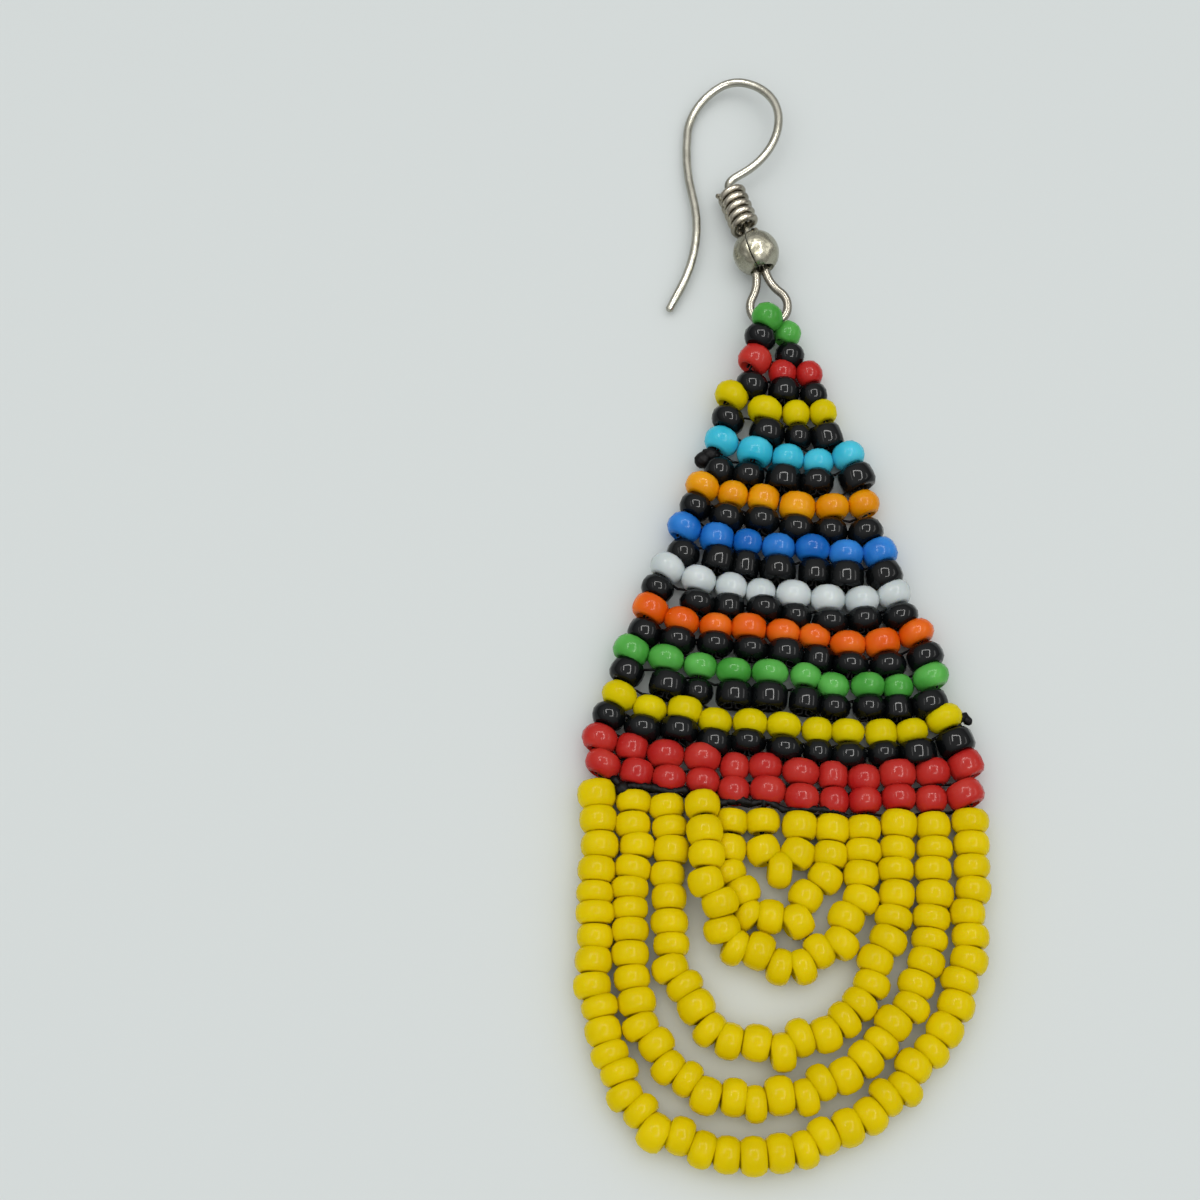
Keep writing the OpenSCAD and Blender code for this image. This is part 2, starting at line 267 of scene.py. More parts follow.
def glassMaterial(colourName, settings):
    base, pale, roughness, reflection, seep = settings
    material, tree, output, place = newMaterial(colourName + "PressedGlass")
    # broad clouds about a bead wide, so no two beads have quite the same tone
    clouds = addNode(tree, "ShaderNodeTexNoise",
                     inputs={"Scale": 1 / (glassSkin["cloud"] * mm),
                             "Detail": glassSkin["cloudDetail"]}, links={"Vector": place})
    tone = addNode(tree, "ShaderNodeValToRGB", links={"Fac": clouds.outputs["Fac"]})
    for stop, share, colour in zip(tone.color_ramp.elements, glassSkin["cloudRange"],
                                   (base, pale)):
        stop.position = share
        stop.color = toLinear(colour)
    # shallow dimples of the fire-polished skin
    dimples = addNode(tree, "ShaderNodeTexNoise",
                      inputs={"Scale": 1 / (glassSkin["dimple"] * mm), "Detail": 1.0},
                      links={"Vector": place})
    skin = addNode(tree, "ShaderNodeBump",
                   inputs={"Strength": glassSkin["dimpleStrength"],
                           "Distance": glassSkin["dimpleDepth"] * mm},
                   links={"Height": dimples.outputs["Fac"]})
    glass = addNode(tree, "ShaderNodeBsdfPrincipled",
                    inputs={"Roughness": roughness, "Specular IOR Level": reflection,
                            "IOR": glassSkin["bending"], "Subsurface Weight": seep,
                            "Subsurface Radius": glassSkin["seepColours"],
                            "Subsurface Scale": glassSkin["seepReach"] * mm},
                    links={"Base Color": tone.outputs["Color"],
                           "Normal": skin.outputs["Normal"]})
    tree.links.new(glass.outputs[0], output.inputs["Surface"])
    return material


glass = {name: glassMaterial(name, settings) for name, settings in glassKinds.items()}

# Nickel-plated wire and sheet, tumbled: satin, warm grey, with fine marks. The dents are faint
# in the wire and deeper in the sheet of the ball, and their size is in millimetres
metalKinds = {
    "drawnNickelWire": {"colour": "AEACA0", "dark": "908E82", "roughness": 0.2, "dents": 0.12,
                        "dentSize": 0.9},
    # the eye is the hook's own wire in a darker copy: painted shade where it catches the lamps'
    # glare
    "paintedShadeNickelEye": {"colour": "8C887D", "dark": "716D63", "roughness": 0.2, "dents": 0.12,
                        "dentSize": 0.9},
    # the coil's darker patches are partly tarnish and partly painted shade for the grooves
    # between its turns
    "tarnishAndPaintedShadeCoil": {"colour": "ABA597", "dark": "7F7A6D", "roughness": 0.22,
                            "dents": 0.25, "dentSize": 0.4},
    "pressedNickelSheet": {"colour": "A9A696", "dark": "827F6D", "roughness": 0.26,
                           "dents": 1.0, "dentSize": 0.65},
}
# Sizes are in millimetres: the patches of tarnish, the fine marks and the depths of both reliefs
metalSkin = {"patch": 1.8, "patchDetail": 4.0, "patchRoughness": 0.62, "patchRange": (0.3, 0.55),
             "mark": 0.12, "markDetail": 3.0, "smoother": 0.08, "rougher": 0.1,
             "markStrength": 0.15, "markDepth": 0.01, "dentDepth": 0.12}


def metalMaterial(name, settings):
    material, tree, output, place = newMaterial(name)
    tarnish = addNode(tree, "ShaderNodeTexNoise",
                      inputs={"Scale": 1 / (metalSkin["patch"] * mm),
                              "Detail": metalSkin["patchDetail"],
                              "Roughness": metalSkin["patchRoughness"]},
                      links={"Vector": place})
    tone = addNode(tree, "ShaderNodeValToRGB", links={"Fac": tarnish.outputs["Fac"]})
    for stop, share, shade in zip(tone.color_ramp.elements, metalSkin["patchRange"],
                                  ("dark", "colour")):
        stop.position = share
        stop.color = toLinear(settings[shade])
    marks = addNode(tree, "ShaderNodeTexNoise",
                    inputs={"Scale": 1 / (metalSkin["mark"] * mm),
                            "Detail": metalSkin["markDetail"]}, links={"Vector": place})
    rough = addNode(tree, "ShaderNodeMapRange",
                    inputs={"To Min": settings["roughness"] - metalSkin["smoother"],
                            "To Max": settings["roughness"] + metalSkin["rougher"]},
                    links={"Value": marks.outputs["Fac"]})
    # shallow dents up to a millimetre apart, under the fine marks
    dents = addNode(tree, "ShaderNodeTexNoise",
                    inputs={"Scale": 1 / (settings["dentSize"] * mm), "Detail": 1.0},
                    links={"Vector": place})
    form = addNode(tree, "ShaderNodeBump",
                   inputs={"Strength": settings["dents"],
                           "Distance": metalSkin["dentDepth"] * mm},
                   links={"Height": dents.outputs["Fac"]})
    relief = addNode(tree, "ShaderNodeBump",
                     inputs={"Strength": metalSkin["markStrength"],
                             "Distance": metalSkin["markDepth"] * mm},
                     links={"Height": marks.outputs["Fac"], "Normal": form.outputs["Normal"]})
    metal = addNode(tree, "ShaderNodeBsdfPrincipled", inputs={"Metallic": 1.0},
                    links={"Base Color": tone.outputs["Color"],
                           "Roughness": rough.outputs["Result"],
                           "Normal": relief.outputs["Normal"]})
    tree.links.new(metal.outputs[0], output.inputs["Surface"])
    return material


metals = {name: metalMaterial(name, settings) for name, settings in metalKinds.items()}

# Black bonded nylon thread, twisted from three yarns: dull, with a faint sheen. Its yarns
# and their depth are in millimetres
threadSettings = {"colour": "0A090A", "roughness": 0.5, "reflection": 0.12, "yarn": 0.16,
                  "uneven": 1.5, "relief": 0.4, "depth": 0.03}
threadNylon, tree, output, place = newMaterial("blackNylonThread")
twist = addNode(tree, "ShaderNodeTexWave", settings={"bands_direction": "DIAGONAL"},
                inputs={"Scale": 1 / (2 * math.pi * threadSettings["yarn"] * mm),
                        "Distortion": threadSettings["uneven"]}, links={"Vector": place})
yarns = addNode(tree, "ShaderNodeBump",
                inputs={"Strength": threadSettings["relief"],
                        "Distance": threadSettings["depth"] * mm},
                links={"Height": twist.outputs["Fac"]})
fibre = addNode(tree, "ShaderNodeBsdfPrincipled",
                inputs={"Base Color": toLinear(threadSettings["colour"]),
                        "Roughness": threadSettings["roughness"],
                        "Specular IOR Level": threadSettings["reflection"]},
                links={"Normal": yarns.outputs["Normal"]})
tree.links.new(fibre.outputs[0], output.inputs["Surface"])
print("materials are made")

# Rings of a bead from its widest part into its hole: reach along the hole and distance from it,
# as shares of the half length and of the radius. A drum has straighter sides than a round bead.
# A master is about 1 mm in radius, a little more to make up for the flats between its corners
beadKinds = {
    "round": [(0.0, 1.0), (0.48, 0.92), (0.84, 0.71), (1.0, 0.46), (0.0, 0.34)],
    "plump": [(0.0, 1.0), (0.54, 0.955), (0.88, 0.79), (1.0, 0.54), (0.0, 0.35)],
    "drum": [(0.0, 1.0), (0.58, 0.975), (0.9, 0.85), (1.0, 0.62), (0.0, 0.36)],
    "disc": [(0.0, 1.0), (0.5, 0.95), (0.86, 0.78), (1.0, 0.52), (0.0, 0.35)],
}
bead = {"around": 12, "radius": 1.03, "halfLength": 1.0, "ringMiddle": 0.7, "ringHalf": 0.3}


def makeBead(name, profile):
    # a ring whose section is pulled into a plump barrel with flat ends; the hole runs along Z
    clearSelection()
    rings = 2 * (len(profile) - 1)
    major, minor = bead["ringMiddle"] * mm, bead["ringHalf"] * mm
    bpy.ops.mesh.primitive_torus_add(major_segments=bead["around"], minor_segments=rings,
                                     major_radius=major, minor_radius=minor)
    made = bpy.context.object
    made.name = name
    turn = 2 * math.pi / rings
    ringOf = [round(math.atan2(abs(v.co.z), math.hypot(v.co.x, v.co.y) - major) / turn)
              for v in made.data.vertices]
    bpy.ops.object.mode_set(mode="EDIT")
    for i, (reach, out) in enumerate(profile):
        selectVertices(made, lambda v, i=i: ringOf[v.index] == i)
        radius = major + minor * math.cos(i * turn)
        height = minor * math.sin(i * turn)
        wide = out * bead["radius"] * mm / radius
        tall = reach * bead["halfLength"] * mm / height if reach else 1.0
        bpy.ops.transform.resize(value=(wide, wide, tall), center_override=(0, 0, 0))
    bpy.ops.object.mode_set(mode="OBJECT")
    return made


masters = {name: makeBead(name + "Bead", profile) for name, profile in beadKinds.items()}


def placeBead(kind, at, along, diameter, length):
    # a copy with its own mesh, its hole along the given direction
    up = Vector((0, 0, 1))
    z = along.normalized()
    x = up.cross(z).normalized()
    y = z.cross(x)
    turn = Matrix((x, y, z)).transposed().to_4x4()
    spin = Matrix.Rotation(shuffle.uniform(0, 2 * math.pi), 4, "Z")
    scale = Matrix.Diagonal((diameter / 2 / mm, diameter / 2 / mm, length / 2 / mm, 1.0))
    copy = masters[kind].copy()
    copy.data = masters[kind].data.copy()
    bpy.context.collection.objects.link(copy)
    copy.data.transform(Matrix.Translation(at) @ turn @ scale @ spin)
    return copy


def touching(points, start, low, high, first, passes=12, share=0.4):
    # sizes with which each bead about touches the next one on its string; the first is given
    sizes = [start] * len(points)
    for _ in range(passes):
        sizes[0] = first
        for i in range(len(points) - 1):
            miss = (points[i + 1] - points[i]).length - (sizes[i] + sizes[i + 1]) / 2
            sizes[i] += miss * share
            sizes[i + 1] += miss * share
        sizes = [min(max(size, low), high) for size in sizes]
    return [first] + sizes[1:]


# Rows from the hook down: their colour and the middle of each bead, in millimetres. A bead
# without a height lies in the panel's middle plane, and a fourth number is a bead's own width
panelRows = [
    ("green", [(0.22, 18.52, 2.33, 2.25), (1.7, 17.7, 1.35, 1.95)]),
    ("black", [(-0.3, 17.1, 1.95, 2.3), (1.8, 15.95, 1.3, 2.1)]),
    ("red", [(-0.7, 15.5, 1.6, 2.33), (1.25, 14.6, 1.25, 2), (3.15, 14.6, 1.1, 1.92)]),
    ("black", [(-0.95, 13.55, 1.35, 2.33), (1.3, 13.15, 1.2, 2.2), (3.4, 12.9, 1.1, 1.95)]),
    ("yellow", [(-2.4, 12.8), (-0.1, 11.6), (2.1, 11.4), (4, 11.5)]),
    ("black", [(-2.7, 10.9, 1.25, 2.4), (0, 9.8), (2.2, 9.6), (4.2, 9.5)]),
    ("turquoise", [(-3.2, 9.2), (-0.9, 8.3), (1.4, 7.9), (3.5, 7.6), (5.6, 8.1)]),
    ("black", [(-3.4, 7, 1.14, 2.14), (-1.4, 6.6), (1, 6.2), (3.3, 6), (6.1, 6.3)]),
    ("amber", [(-4.6, 5.7), (-2.5, 5.1, 1.15, 2.14), (-0.4, 4.8, 1.15, 2.2), (1.9, 4.1),
        (4.3, 4.1), (6.5, 4.4)]),
    ("black", [(-5.1, 4.2), (-3, 3.3), (-0.6, 3.1), (1.8, 2.5), (4.1, 2.3), (6.5, 2.2)]),
    ("blue", [(-5.9, 2.6), (-3.7, 1.8), (-1.6, 1.5), (0.5, 1.1), (2.8, 1), (5.1, 0.6),
        (7.4, 0.7)]),
    ("black", [(-6, 0.7), (-3.6, 0.2), (-1.8, -0.2), (0.4, -0.6), (2.9, -0.8), (5, -1.1),
        (7.6, -1)]),
    ("white", [(-7.1, -0.4), (-5, -1.3), (-2.8, -1.8), (-0.8, -2.2), (1.4, -2.4), (3.7, -2.7),
        (6, -2.8), (8.2, -2.3)]),
    ("black", [(-7.8, -1.9), (-5.1, -3), (-3, -3.2), (-0.6, -3.4), (1.5, -3.9), (3.8, -4.4),
        (6.1, -4.2), (8.5, -4)]),
    ("orange", [(-8.3, -3.4), (-6.2, -4.3), (-3.9, -4.7), (-1.7, -4.8), (0.6, -5.1),
        (2.7, -5.4), (4.9, -6), (7.2, -5.9), (9.5, -5.2)]),
    ("black", [(-8.7, -5.1), (-6.5, -5.7), (-4, -6), (-1.6, -6.3), (0.7, -6.6), (2.9, -7),
        (5, -7.5), (7.5, -7.5), (10, -6.9)]),
    ("green", [(-9.6, -6.4), (-7.3, -7), (-5, -7.5), (-2.8, -7.9), (-0.4, -8), (2, -8.2),
        (3.8, -8.9), (6.1, -8.9), (8.1, -9), (10.3, -8.3)]),
    ("black", [(-9.9, -7.9), (-7.2, -8.9), (-5.2, -9.3), (-2.8, -9.6), (-0.5, -9.7),
        (1.9, -10), (3.8, -10.4), (6.1, -10.4), (8, -10.5), (10.1, -10.2)]),
    ("yellow", [(-10.4, -9.6), (-8.4, -10.5), (-6.1, -10.6), (-4.1, -11.4), (-1.8, -11.5),
        (0.4, -11.7), (2.6, -12), (4.6, -12.1), (6.8, -12.2), (8.8, -12.1), (11, -11.2)]),
    ("black", [(-11.1, -11), (-8.9, -11.9), (-6.5, -12), (-4.2, -12.8), (-2, -12.8),
        (0.4, -13.3), (2.6, -13.5), (4.6, -13.8), (6.9, -13.6), (9.1, -13.6), (11.6, -12.9)]),
    ("red", [(-11.7, -12.6), (-9.6, -13.2), (-7.4, -13.7), (-5, -13.9), (-2.9, -14.5),
        (-0.9, -14.5), (1.4, -14.9), (3.5, -15.1), (5.5, -15.3), (7.7, -15), (10, -14.9),
        (12.2, -14.4)]),
    ("red", [(-11.5, -14.3), (-9.3, -14.9), (-7.2, -15.3), (-5, -15.5), (-3, -16.1),
        (-0.8, -16.1), (1.4, -16.6), (3.5, -16.8), (5.5, -16.8), (7.7, -16.6), (9.8, -16.7),
        (12, -16.4)]),
]
# Lengths are along the hole. The end beads of a row turn outwards by the two turns in degrees.
# The thread reaches out of each bead, a little to either side, and sinks where it crosses over
panel = {"height": 1.15, "length": 1.62, "upperLength": 1.74, "upperRows": 13,
         "longRows": {12: 1.8, 21: 1.74, 22: 1.74}, "diameter": 2.28, "least": 1.9, "most": 2.4,
         "first": 2.35, "firstBlack": 2.2,
         "press": 1.035, "spread": (0.97, 1.04), "lean": 0.06, "plumpShare": 0.3,
         "leftTurn": -22, "rightTurn": 26, "threadRadius": 0.09, "threadSide": 0.12,
         "threadReach": 0.84, "firstReach": 0.45, "threadTurn": 1.05, "crossReach": 0.9,
         "crossDrop": 0.7}
# black beads with straight sides, counted from the left, by row
drums = {6: (4,), 8: (3, 5), 12: (2, 3, 5, 6), 18: (2, 4, 5, 6, 9), 20: (10, 11)}
# a bead of this share of its width above the floor just clears it
restShare = 0.516


def rowBeads(i):
    # place, direction of the hole and diameter of each bead of a row
    colour, chart = panelRows[i]
    count = len(chart)
    first = panel["firstBlack" if colour == "black" else "first"]
    places = [Vector((*spot, panel["height"])[:3]) * mm for spot in chart]
    sizes = touching(places, panel["diameter"] * mm, panel["least"] * mm, panel["most"] * mm,
                     first * mm)
    sizes = [spot[3] * mm if len(spot) == 4 else size * panel["press"]
             for spot, size in zip(chart, sizes)]
    for at, size in zip(places, sizes):
        at.z = max(at.z, restShare * size)
    across = places[-1] - places[0]
    made = []
    for k, (at, size) in enumerate(zip(places, sizes)):
        lean = across if k in (0, count - 1) else places[k + 1] - places[k - 1]
        angle = math.atan2(lean.y, lean.x)
        if count > 2 and k == 0:
            angle += math.radians(panel["leftTurn"])
        if count > 2 and k == count - 1:
            angle += math.radians(panel["rightTurn"])
        made.append((at, Vector((-math.sin(angle), math.cos(angle), 0)), size))
    return made


threadPaths = []
for i, (colour, _) in enumerate(panelRows):
    row = rowBeads(i)
    usual = panel["upperLength" if i < panel["upperRows"] else "length"]
    beads, path = [], []
    for k, (at, along, size) in enumerate(row):
        lean = panel["lean"]
        tilt = Vector((shuffle.uniform(-lean, lean), 0, shuffle.uniform(-lean, lean)))
        length = panel["longRows"].get(i + 1, usual) * shuffle.uniform(*panel["spread"]) * mm
        kind = "plump" if shuffle.random() < panel["plumpShare"] else "round"
        if k + 1 in drums.get(i + 1, ()):
            kind = "drum"
        beads.append(placeBead(kind, at, along + tilt, size, length))
        # the thread goes up the hole, round the thread of the row above, down again and across
        side = along.cross(Vector((0, 0, 1))) * panel["threadSide"] * mm
        reach = along * panel["threadReach" if i else "firstReach"] * mm
        path += [at - reach - side, at + reach - side, at + reach * panel["threadTurn"],
                 at + reach + side, at - reach + side]
        if k < len(row) - 1:
            after, turn, _ = row[k + 1]
            path.append((at + after) / 2 - (along + turn) / 2 * panel["crossReach"] * mm
                        - Vector((0, 0, panel["crossDrop"] * mm)))
    threadPaths.append(path)
    finishPiece(joinPieces(beads, "panelRow%02d" % (i + 1)), glass[colour],
                ["beaded_panel"])

# Thicker runs of thread in millimetres: the one that binds the lowest row, with its knot, and
# the melted ends beside the eighth row and at the right edge. Each has its own half width
bindings = {
    "radius": [0.25, 0.21, 0.17, 0.34, 0.27], "step": 0.14,
    "fray": [(0.2, 1.3, 0), (0.16, 3.1, 1)], "dimples": 0.12,
    "lumps": [(-10.25, -16.15, 1.6, 0.5), (-4.0, 8.15, 1.3, 0.55), (-4.55, 7.8, 1.15, 0.6),
              (-3.75, 7.45, 1.25, 0.55)],
    "route": [
        [(-11.2, -15.2, 1.0), (-10.9, -15.25, 1.35), (-10.3, -15.9, 1.6), (-9.26, -15.93, 1.6),
         (-8.27, -16.05, 1.6), (-7.16, -16.3, 1.6), (-6.25, -16.2, 1.6), (-5.93, -16.44, 1.3),
         (-4.9, -16.6, 1.2), (-4.06, -17.0, 1.4), (-2.78, -16.87, 1.6), (-1.93, -17.05, 1.55)],
        [(-1.93, -17.05, 1.5), (-1.03, -16.97, 1.6), (-0.31, -17.2, 1.5), (0.3, -17.44, 1.3),
         (1.36, -17.45, 1.6), (2.65, -17.5, 1.6), (3.55, -17.6, 1.55), (4.14, -17.84, 1.2),
         (5.11, -17.9, 1.3)],
        [(-1.1, -16.8, 1.7), (-1.12, -17.25, 1.6), (-1.2, -17.6, 1.2)],
        [(-3.35, 7.4, 1.3), (-3.65, 8.0, 1.35), (-4.06, 8.35, 1.35), (-4.35, 8.15, 1.2),
         (-4.75, 7.88, 1.1)],
        [(11.75, -11.9, 1.25), (12.0, -11.3, 1.4), (12.4, -11.05, 1.4), (12.5, -11.35, 1.25),
         (12.8, -11.4, 1.2)]]}


def frayed(i, count):
    # the width of a thread end that melted unevenly
    return 1 + sum(high * math.sin(i * rate + start) for high, rate, start in bindings["fray"])


threads = [wireFrom("panelThread", threadPaths, panel["threadRadius"] * mm, 1)]
for radius, route in zip(bindings["radius"], bindings["route"]):
    fine = smoothRoute(millimetres(route), bindings["step"] * mm)
    threads.append(wireFrom("binding", [fine], radius * mm, 2, frayed))
for x, y, z, radius in bindings["lumps"]:
    clearSelection()
    bpy.ops.mesh.primitive_ico_sphere_add(subdivisions=2, radius=radius * mm,
                                          location=Vector((x, y, z)) * mm)
    lump = bpy.context.object
    bpy.ops.object.mode_set(mode="EDIT")
    bpy.ops.transform.vertex_random(offset=bindings["dimples"] * mm, seed=3)
    bpy.ops.object.mode_set(mode="OBJECT")
    threads.append(lump)
finishPiece(joinPieces(threads, "panelThread"), threadNylon)
print("panel of", len(panelRows), "rows is beaded")

# Middles of the beads of the six loops, from the left end round to the right, in millimetres.
# The fourth loop's left leg lies on the fifth's, so its first beads have a height as well
loopBeads = [
    [(-11.9, -16.4), (-11.8, -18.1), (-11.7, -19.8), (-11.9, -21.4), (-12, -22.9),
     (-12, -24.2), (-12, -25.7), (-12.1, -27.2), (-12.2, -28.8), (-11.7, -30.1),
     (-11.5, -31.6), (-11.1, -33), (-10.5, -34.1), (-10.2, -35.5), (-9.2, -36.4),
     (-8.4, -37.7), (-6.8, -37.9), (-5.5, -38.7), (-4, -39), (-2.4, -39.1), (-0.8, -38.9),
     (0.7, -38.7), (1.9, -37.9), (3.4, -37.4), (4.8, -36.7), (5.8, -35.6), (7, -35.1),
     (7.6, -33.7), (8.8, -32.8), (9.7, -31.5), (10.5, -30), (10.8, -28.5), (11.5, -27.2),
     (11.7, -25.7), (11.6, -24.2), (12.1, -22.7), (12.1, -21.2), (12.2, -19.7), (12.2, -18.2)],
    [(-9.5, -16.9), (-9.6, -18.4), (-9.3, -19.8), (-9.6, -21.3), (-9.8, -22.6), (-9.8, -23.9),
     (-9.8, -25.3), (-9.8, -26.8), (-9.7, -28.3), (-9.4, -29.8), (-9.2, -31.3), (-8.2, -32.4),
     (-7.5, -33.8), (-6.3, -34.5), (-5.2, -35.5), (-3.5, -35.6), (-2.2, -36), (-0.7, -35.5),
     (0.9, -35.6), (1.9, -34.7), (3.4, -34.3), (4.7, -33.3), (5.7, -32.3), (6.5, -31.1),
     (7.7, -30.1), (8.1, -28.7), (8.8, -27.3), (9.1, -25.9), (9.3, -24.5), (9.6, -23),
     (9.6, -21.4), (9.8, -20), (9.8, -18.5)],
    [(-7.4, -17.2), (-7.2, -18.6), (-7.1, -20.1), (-7.4, -21.7), (-7.3, -23.2), (-7.3, -24.8),
     (-7.2, -26.2), (-7.3, -27.7), (-6.4, -28.8), (-5.7, -30.1), (-4.9, -31.5), (-3.7, -32.2),
     (-2, -32.3), (-0.4, -32.9), (0.7, -32), (2.3, -31.8), (3.5, -30.9), (4.5, -29.9),
     (5.3, -28.7), (5.6, -27.2), (6.5, -25.9), (6.9, -24.5), (7.2, -23), (7.2, -21.4),
     (7.4, -20), (7.6, -18.4)],
    [(-5.1, -17.3, 1.85), (-5, -19.1, 2.2), (-4.9, -20.7, 2.32), (-5, -22.4, 2.28),
     (-4.1, -23.7, 2.0), (-4, -25.3, 1.6), (-3.2, -26.4, 1.3), (-1.7, -26.6), (-0.4, -27.6),
     (1, -27.6), (2.1, -26.6), (3.5, -26.1), (3.9, -24.5), (4.9, -23.3), (5, -21.7),
     (5.2, -20.2), (5.3, -18.7)],
    [(-3.2, -18.2), (-3.4, -20), (-3.5, -21.6), (-2.6, -22.8), (-2.3, -24.3), (-0.9, -24.4),
     (0.8, -24.7), (1.4, -23.1), (2.7, -21.9), (3.1, -20.4), (3.3, -18.7)],
    [(-1.2, -18.2), (-1.2, -20.1), (-0.2, -21.4), (1, -20.3), (1.2, -18.5)],
]
# Widths of each loop's beads and lengths of its first bead. The outer loop starts with wider
# ones, and the beads press against each other a little
fringe = {"diameters": [2.37, 2.36, 2.36, 2.37, 2.27, 2.3], "spread": (0.96, 1.03),
          "wideBeads": 6, "wideStart": 1.06, "length": 1.54, "least": 1.34, "most": 1.72,
          "first": [1.78, 1.36, 1.45, 1.62, 1.5, 1.5], "press": 1.06, "lean": 0.05,
          "threadRadius": 0.16, "threadStep": 0.4}
for i, chart in enumerate(loopBeads):
    girths = [fringe["diameters"][i] * shuffle.uniform(*fringe["spread"]) for _ in chart]
    if i == 0:
        wide = fringe["wideBeads"]
        girths[:wide] = [girth * fringe["wideStart"] for girth in girths[:wide]]
    places = [Vector((*spot, restShare * girth)[:3]) * mm for spot, girth in zip(chart, girths)]
    lengths = touching(places, fringe["length"] * mm, fringe["least"] * mm,
                       fringe["most"] * mm, fringe["first"][i] * mm)
    beads = []
    for k, at in enumerate(places):
        along = places[min(k + 1, len(places) - 1)] - places[max(k - 1, 0)]
        lean = fringe["lean"]
        along = along.normalized() + Vector((shuffle.uniform(-lean, lean),
                                             shuffle.uniform(-lean, lean), 0))
        beads.append(placeBead("disc", at, along, girths[k] * mm, lengths[k] * fringe["press"]))
    finishPiece(joinPieces(beads, "fringeLoop%d" % (i + 1)), glass["sunYellow"],
                ["fringe_loop_%d" % (i + 1)])
    fine = smoothRoute(places, fringe["threadStep"] * mm)
    strand = wireFrom("loopThread%d" % (i + 1), [fine], fringe["threadRadius"] * mm, 2)
    finishPiece(strand, threadNylon)
print("six fringe loops are strung")

# The wire's path in its own plane: radius of each bend or zero, turn to the left in degrees,
# and length of a straight run, all sizes in millimetres. It starts near the middle of the ball
hook = {"at": (-0.36, 24.28, 1.68), "tilt": (-1.25, -11.5), "heading": 107.5, "radius": 0.32,
        "solder": 0.78, "tipRun": 0.12, "tipShares": [0.55, 0.9],
        "path": [(0, 0, 5.95), (0.7, -67, 0), (2.6, -15.5, 0), (5.3, 63, 0), (3.8, 72, 0),
                 (2.3, 50, 0), (5.0, 54, 0), (18.5, 18, 0), (12.0, -39, 0), (0, 0, 1.9)]}
eye = {"heading": 282, "dip": 10, "lean": 6, "flare": 40, "radius": 1.35, "reach": 4.2,
       "gap": 0.72, "root": 0.15}


def wirePath(segments, at, heading, stepAngle=5):
    # points of a flat wire that is laid out bend by bend
    place, angle = Vector((at[0], at[1])), math.radians(heading)
    points = [Vector((*place, 0))]
    for radius, turn, run in segments:
        if radius == 0:
            place = place + Vector((math.cos(angle), math.sin(angle))) * run
            points.append(Vector((*place, 0)))
            continue
        side = math.copysign(1, turn)
        middle = place + Vector((-math.sin(angle), math.cos(angle))) * radius * side
        steps = math.ceil(abs(turn) / stepAngle)
        for _ in range(steps):
            angle += math.radians(turn) / steps
            place = middle - Vector((-math.sin(angle), math.cos(angle))) * radius * side
            points.append(Vector((*place, 0)))
    return points


hookPlace = (Matrix.Translation(Vector(hook["at"]) * mm)
             @ Matrix.Rotation(math.radians(hook["tilt"][1]), 4, "Y")
             @ Matrix.Rotation(math.radians(hook["tilt"][0]), 4, "X"))
start = math.radians(hook["heading"])
stemRoot = (eye["root"] * math.cos(start), eye["root"] * math.sin(start))
hookPoints = [hookPlace @ (p * mm) for p in wirePath(hook["path"], stemRoot, hook["heading"])]
flare = math.radians(eye["flare"])
bendRadius = (eye["radius"] * math.cos(flare) - eye["gap"] / 2) / (1 - math.cos(flare))
legRun = eye["reach"] - (bendRadius + eye["radius"]) * math.sin(flare) - eye["root"]
eyePlace = (Matrix.Translation(Vector(hook["at"]) * mm)
            @ Matrix.Rotation(math.radians(eye["heading"]), 4, "Z")
            @ Matrix.Rotation(math.radians(eye["dip"]), 4, "Y")
            @ Matrix.Rotation(math.radians(eye["lean"]), 4, "X"))
eyePoints = [eyePlace @ (p * mm) for p in wirePath(
    [(0, 0, legRun), (bendRadius, eye["flare"], 0),
     (eye["radius"], -180 - 2 * eye["flare"], 0), (bendRadius, eye["flare"], 0),
     (0, 0, legRun)], (eye["root"], eye["gap"] / 2), 0)]


def roundedEnd(i, count):
    # the wire's tip is filed round
    left = count - 1 - i
    return hook["tipShares"][left] if left < len(hook["tipShares"]) else 1.0


tipRun = hookPoints[-1] - hookPoints[-2]
hookPoints[-1:] = [hookPoints[-1] - tipRun.normalized() * hook["tipRun"] * mm,
                   hookPoints[-1]]
hookWire = wireFrom("hookWire", [hookPoints], hook["radius"] * mm, 4, roundedEnd)
finishPiece(hookWire, metals["drawnNickelWire"], ["ear_hook"])
# the stem and the eye's two legs meet in a lump of solder inside the ball
clearSelection()
bpy.ops.mesh.primitive_ico_sphere_add(subdivisions=3, radius=hook["solder"] * mm,
                                      location=Vector(hook["at"]) * mm)
eyeWire = joinPieces([bpy.context.object,
                      wireFrom("legs", [eyePoints], hook["radius"] * mm, 4)], "eyeWire")
# the eye takes the darker copy of the hook wire's metal, which is painted shade
finishPiece(eyeWire, metals["paintedShadeNickelEye"], ["ear_hook"])

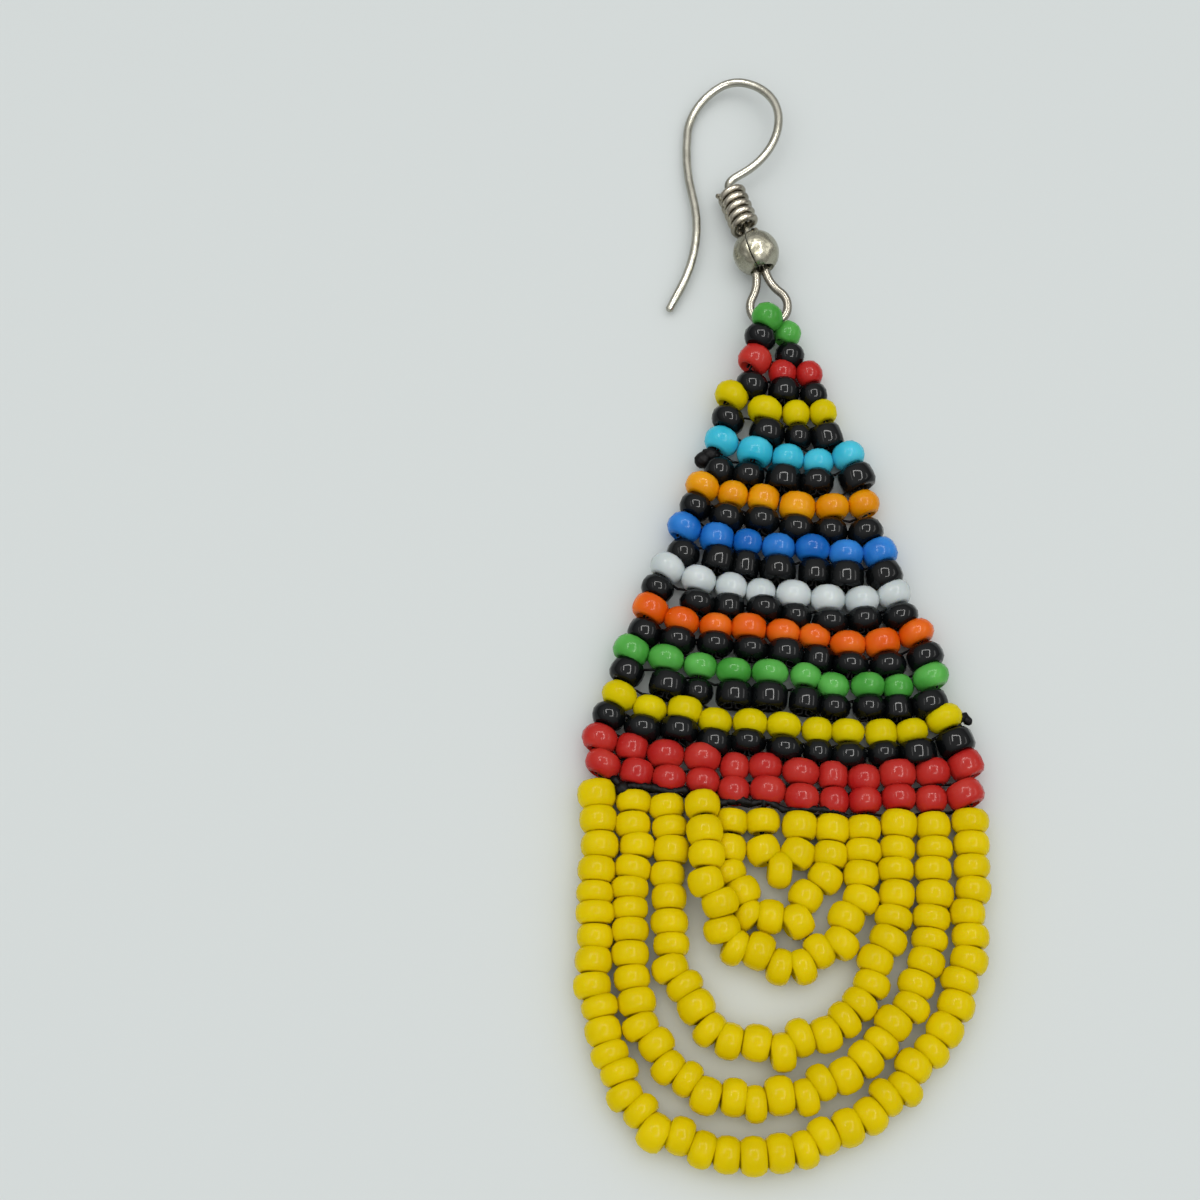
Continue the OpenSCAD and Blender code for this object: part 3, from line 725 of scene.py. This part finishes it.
coil = {"radius": 0.84, "wire": 0.28, "turns": 5.5, "pitch": 0.69, "from": 2.13, "steps": 24,
        "start": -90, "stub": 0.2, "firstStep": 2, "firstShare": 0.6}
coilPlace = hookPlace @ Matrix.Rotation(start, 4, "Z") @ Matrix.Rotation(math.pi / 2, 4, "Y")
coilPoints = []
coilSteps = round(coil["turns"] * coil["steps"])
for k in range(coil["firstStep"], coilSteps + 1):
    angle = math.radians(coil["start"]) + 2 * math.pi * k / coil["steps"]
    # the cut end of the wire stands out a little
    reach = coil["radius"] + (coil["stub"] if k == coilSteps else 0)
    coilPoints.append(coilPlace @ (Vector((
        reach * math.cos(angle), reach * math.sin(angle),
        coil["from"] + coil["pitch"] * k / coil["steps"])) * mm))
coilWire = wireFrom("hookCoil", [coilPoints], coil["wire"] * mm, 3,
                    lambda i, count: coil["firstShare"] if i == 0 else roundedEnd(i, count))
# the coil's darker metal is partly tarnish and partly painted shade
finishPiece(coilWire, metals["tarnishAndPaintedShadeCoil"], ["hook_coil"])

ball = {"at": (-0.36, 24.28, 1.68), "dip": 7, "radius": 1.67, "wall": 0.22, "topHole": 0.71,
        "lowHole": 0.9, "seam": 0.045, "seamAngle": 153, "segments": 48, "rings": 28,
        "weld": 0.001, "edge": 0.03, "edgeAngle": 50, "smoothAngle": 40}
clearSelection()
bpy.ops.mesh.primitive_uv_sphere_add(segments=ball["segments"], ring_count=ball["rings"],
                                     radius=ball["radius"] * mm)
hollowBall = bpy.context.object
bpy.ops.object.mode_set(mode="EDIT")
for hole, side in ((ball["topHole"], 1), (ball["lowHole"], -1)):
    # each end is cut off where the hole has its width
    cut = math.sqrt(ball["radius"] ** 2 - hole ** 2) * mm * side
    bpy.ops.mesh.select_all(action="SELECT")
    bpy.ops.mesh.bisect(plane_co=(0, 0, cut), plane_no=(0, 0, side), clear_outer=True,
                        threshold=ball["weld"] * mm)
for side in (1, -1):
    bpy.ops.mesh.select_all(action="SELECT")
    bpy.ops.mesh.bisect(plane_co=(0, side * ball["seam"] * mm, 0), plane_no=(0, 1, 0),
                        threshold=ball["weld"] * mm)
# the faces between the two cuts, on one side of the ball only, are the open seam
seamReach = (ball["seam"] + ball["weld"]) * mm
selectVertices(hollowBall, lambda v: v.co.x > 0 and abs(v.co.y) < seamReach)
bpy.ops.mesh.delete(type="ONLY_FACE")
bpy.ops.object.mode_set(mode="OBJECT")
wall = hollowBall.modifiers.new("wall", "SOLIDIFY")
wall.thickness = ball["wall"] * mm
wall.offset = -1
edge = hollowBall.modifiers.new("edge", "BEVEL")
edge.width = ball["edge"] * mm
edge.segments = 2
edge.angle_limit = math.radians(ball["edgeAngle"])
applyModifiers(hollowBall)
hollowBall.data.transform(
    Matrix.Translation(Vector(ball["at"]) * mm) @ Matrix.Rotation(start, 4, "Z")
    @ Matrix.Rotation(math.radians(90 - ball["dip"]), 4, "Y")
    @ Matrix.Rotation(math.radians(ball["seamAngle"]), 4, "Z"))
hollowBall.name = "hollowBall"
finishPiece(hollowBall, metals["pressedNickelSheet"], ["hook_ball"])
bpy.ops.object.shade_smooth_by_angle(angle=math.radians(ball["smoothAngle"]))
print("hook, coil and ball are formed")

hanging = {"radius": 0.14, "step": 0.15,
           "route": [(0.55, 19.05, 2.3), (0.68, 19.45, 2.05), (0.72, 19.6, 1.55),
                     (0.74, 19.6, 1.0), (0.87, 19.45, 0.5), (1.2, 19.1, 0.18),
                     (1.6, 18.85, 0.35), (1.9, 18.75, 0.8), (2.1, 18.6, 1.2),
                     (2.0, 18.25, 1.35)]}
fine = smoothRoute(millimetres(hanging["route"]), hanging["step"] * mm)
hangingThread = wireFrom("hangingThread", [fine], hanging["radius"] * mm, 2)
finishPiece(hangingThread, threadNylon, ["hanging_thread"])

for master in masters.values():
    bpy.data.objects.remove(master)
print("threads are drawn")
